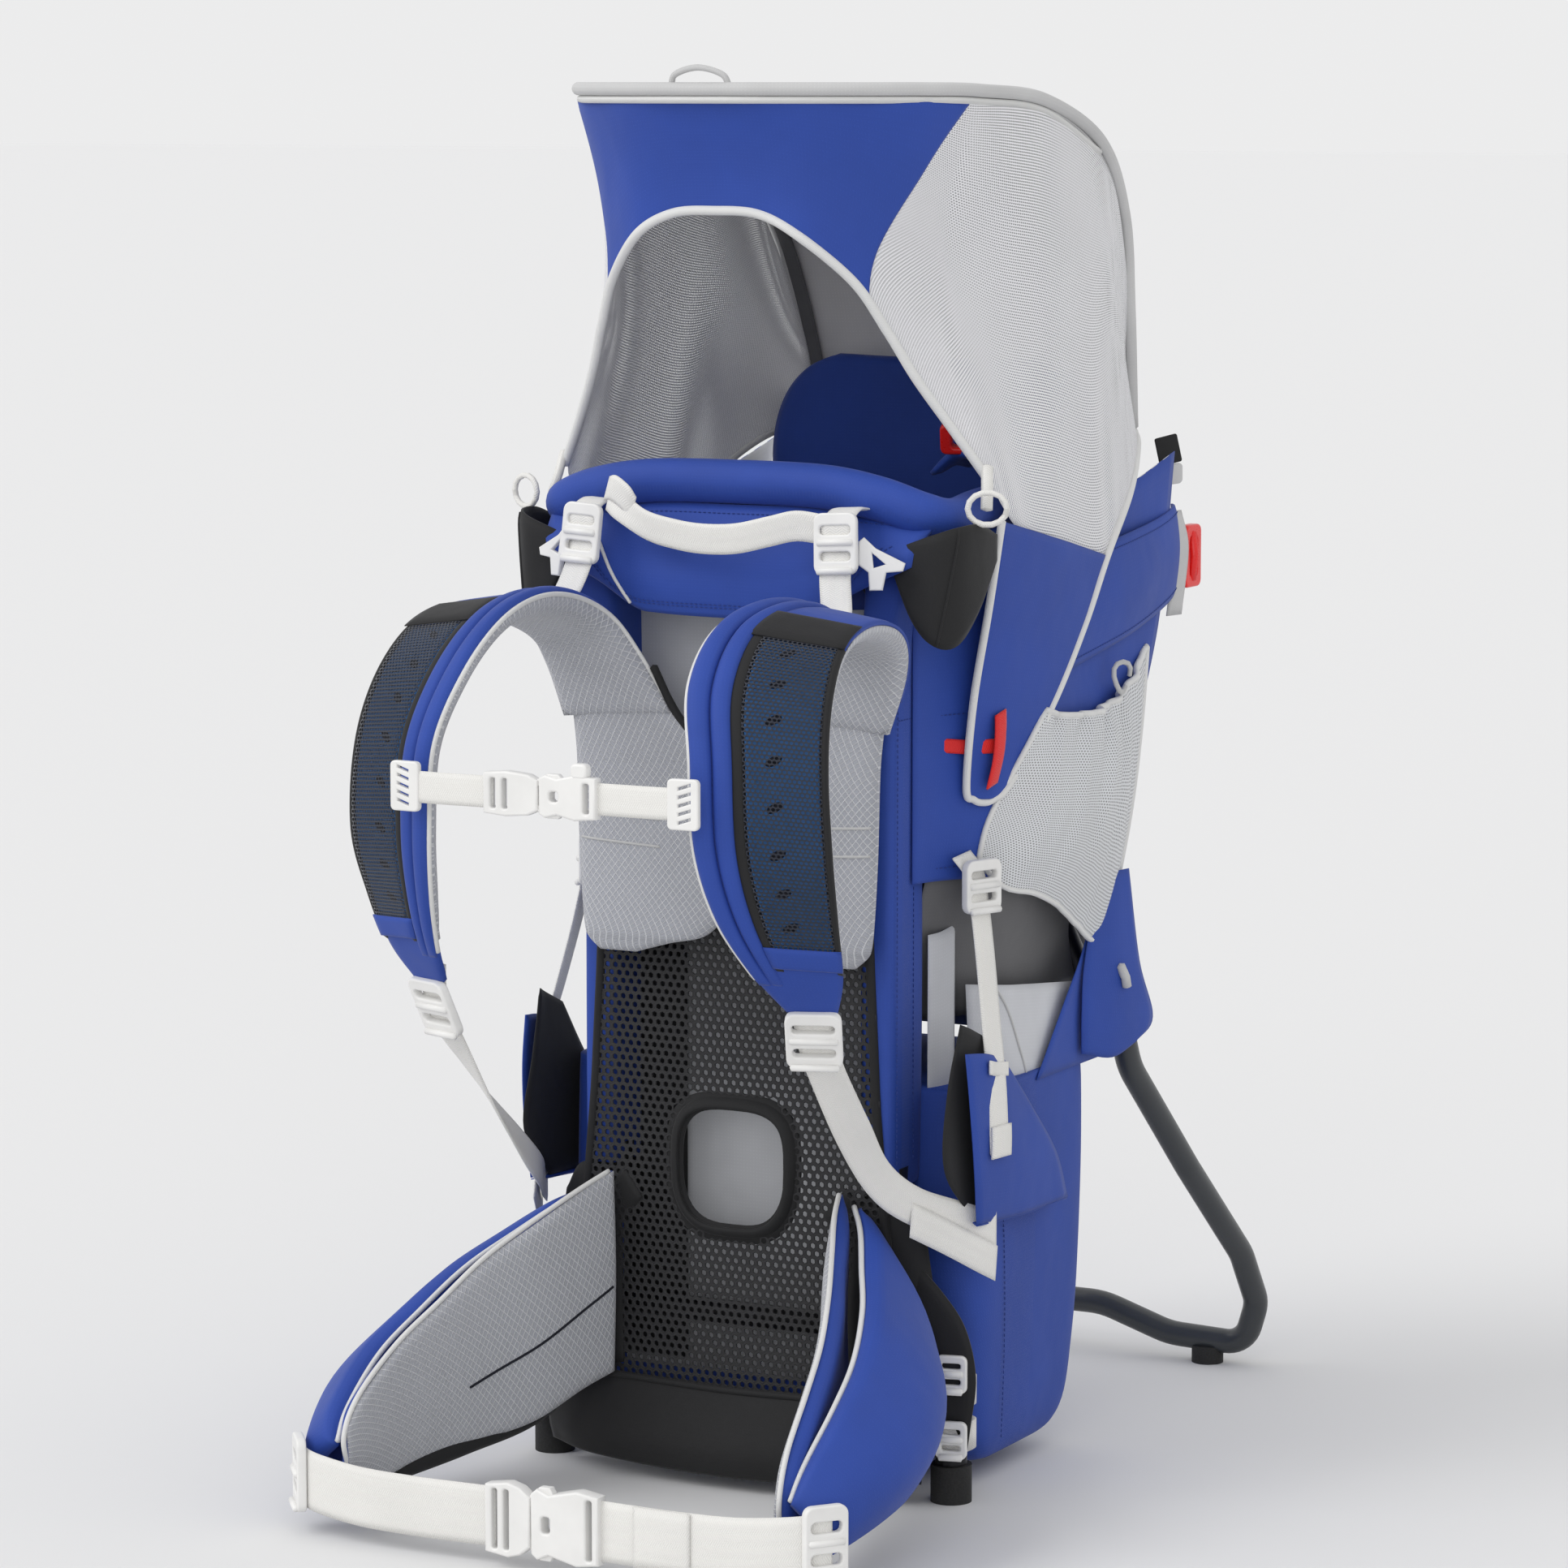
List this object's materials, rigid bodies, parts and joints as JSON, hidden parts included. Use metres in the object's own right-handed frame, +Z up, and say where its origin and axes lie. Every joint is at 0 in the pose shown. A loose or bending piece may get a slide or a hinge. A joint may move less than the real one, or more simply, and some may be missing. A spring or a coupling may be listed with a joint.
{
  "type": "baby carrier backpack",
  "caption": "Framed child carrier worn on the back, with padded harness, hip belt, child cockpit with stirrups, folding sun canopy and fold-out kickstand.",
  "frame": {"origin": "centre of the footprint box on the floor that the carrier stands on", "axes": "+X across the pack to the wearer's left hand side, +Y from the wearer towards the rear, +Z up"},
  "size_m": [0.3918, 0.699, 0.8938],
  "materials": {
    "frame_tube": "black anodised",
    "stand_tube": "charcoal satin",
    "pin_steel": "brushed",
    "rubber": "matt",
    "black_plastic": "matt",
    "white_plastic": "satin",
    "blue_fabric": "woven nylon",
    "white_webbing": "webbing",
    "red_webbing": "webbing",
    "red_plastic": "gloss",
    "black_fabric": "woven nylon",
    "black_net": "hexagonal net",
    "grey_mesh": "fine mesh",
    "grey_lining": "woven lining",
    "diamond_pad": "diamond spacer mesh over foam",
    "hoop_piping": "fabric-bound rod"
  },
  "bodies": {
    "carrier": {"frame_upright_left": "frame_tube", "frame_upright_right": "frame_tube", "frame_top_bow": "frame_tube", "frame_cross_tube": "frame_tube", "rubber_feet": "rubber", "side_arms": "frame_tube", "pivot_brackets": "frame_tube", "pivot_pins": "pin_steel", "frame_sleeves": "blue_fabric", "sleeve_end_caps": "black_plastic", "frame_wraps": "white_plastic", "back_net": "black_net", "net_window_ring": "black_fabric", "base_band": "black_fabric", "seat_lining": "grey_lining", "collar_roll": "blue_fabric", "collar_front_panel": "blue_fabric", "corner_patches": "black_fabric", "side_wall_right": "blue_fabric", "side_wall_left": "blue_fabric", "rear_panel": "blue_fabric", "headrest": "blue_fabric", "side_wraps": "blue_fabric", "rear_buckles": "red_plastic", "mesh_pockets": "grey_mesh", "cargo_compartment": "blue_fabric", "pivot_tabs": "blue_fabric", "stirrup_webbing": "white_webbing", "stirrup_locks": "white_plastic", "stirrup_bands": "blue_fabric", "red_loops": "red_webbing", "hip_pads": "diamond_pad", "hip_shells": "blue_fabric", "hip_webbing_right": "white_webbing", "hip_webbing_left": "white_webbing", "hip_locks": "white_plastic", "hip_buckle_female": "white_plastic", "harness_webbing": "white_webbing", "lifter_locks": "white_plastic"},
    "stand": {"kickstand": "stand_tube", "kickstand_feet": "rubber"},
    "canopy": {"canopy_hoop": "hoop_piping", "canopy_roof": "grey_mesh", "canopy_sides": "grey_mesh", "canopy_visor": "blue_fabric", "canopy_tails": "blue_fabric", "canopy_loops": "white_webbing"},
    "harness": {"yoke_pad": "diamond_pad", "shoulder_strap_right": "blue_fabric", "shoulder_strap_left": "blue_fabric", "strap_adjusters": "white_plastic"},
    "sternum": {"sternum_sliders": "white_plastic", "sternum_webbing_right": "white_webbing", "sternum_webbing_left": "white_webbing", "sternum_buckle_female": "white_plastic"},
    "sternum_catch": {"sternum_buckle_male": "white_plastic"},
    "hip_catch": {"hip_buckle_male": "white_plastic"},
    "handle": {"grab_handle": "white_webbing"},
    "seat": {"seat_saddle": "grey_lining", "child_harness": "black_fabric"}
  },
  "joints": [
    {"name": "kickstand_fold", "type": "hinge", "parent": "carrier", "child": "stand", "pos_m": [0, 0.1515, 0.29], "axis": [1, 0, 0], "range_deg": [-32, 0]},
    {"name": "canopy_fold", "type": "hinge", "parent": "carrier", "child": "canopy", "pos_m": [0, 0.2465, 0.652], "axis": [1, 0, 0], "range_deg": [-70, 0], "deforming": ["canopy_tails"]},
    {"name": "torso_adjust", "type": "slide", "parent": "carrier", "child": "harness", "axis": [0, 0, 1], "range_m": [-0.06, 0], "deforming": ["harness_webbing"]},
    {"name": "sternum_height", "type": "slide", "parent": "harness", "child": "sternum", "axis": [0, 0, 1], "range_m": [-0.02, 0.015]},
    {"name": "sternum_buckle_release", "type": "slide", "parent": "sternum", "child": "sternum_catch", "axis": [-1, 0, 0], "range_m": [0, 0.024], "deforming": ["sternum_webbing_left"]},
    {"name": "hip_buckle_release", "type": "slide", "parent": "carrier", "child": "hip_catch", "axis": [-1, 0, 0], "range_m": [0, 0.03], "deforming": ["hip_webbing_left"]},
    {"name": "handle_lift", "type": "hinge", "parent": "carrier", "child": "handle", "pos_m": [0, -0.1355, 0.636], "axis": [1, 0, 0], "range_deg": [-150, 0]},
    {"name": "seat_height", "type": "slide", "parent": "carrier", "child": "seat", "axis": [0, 0, 1], "range_m": [-0.03, 0.03]}
  ]
}
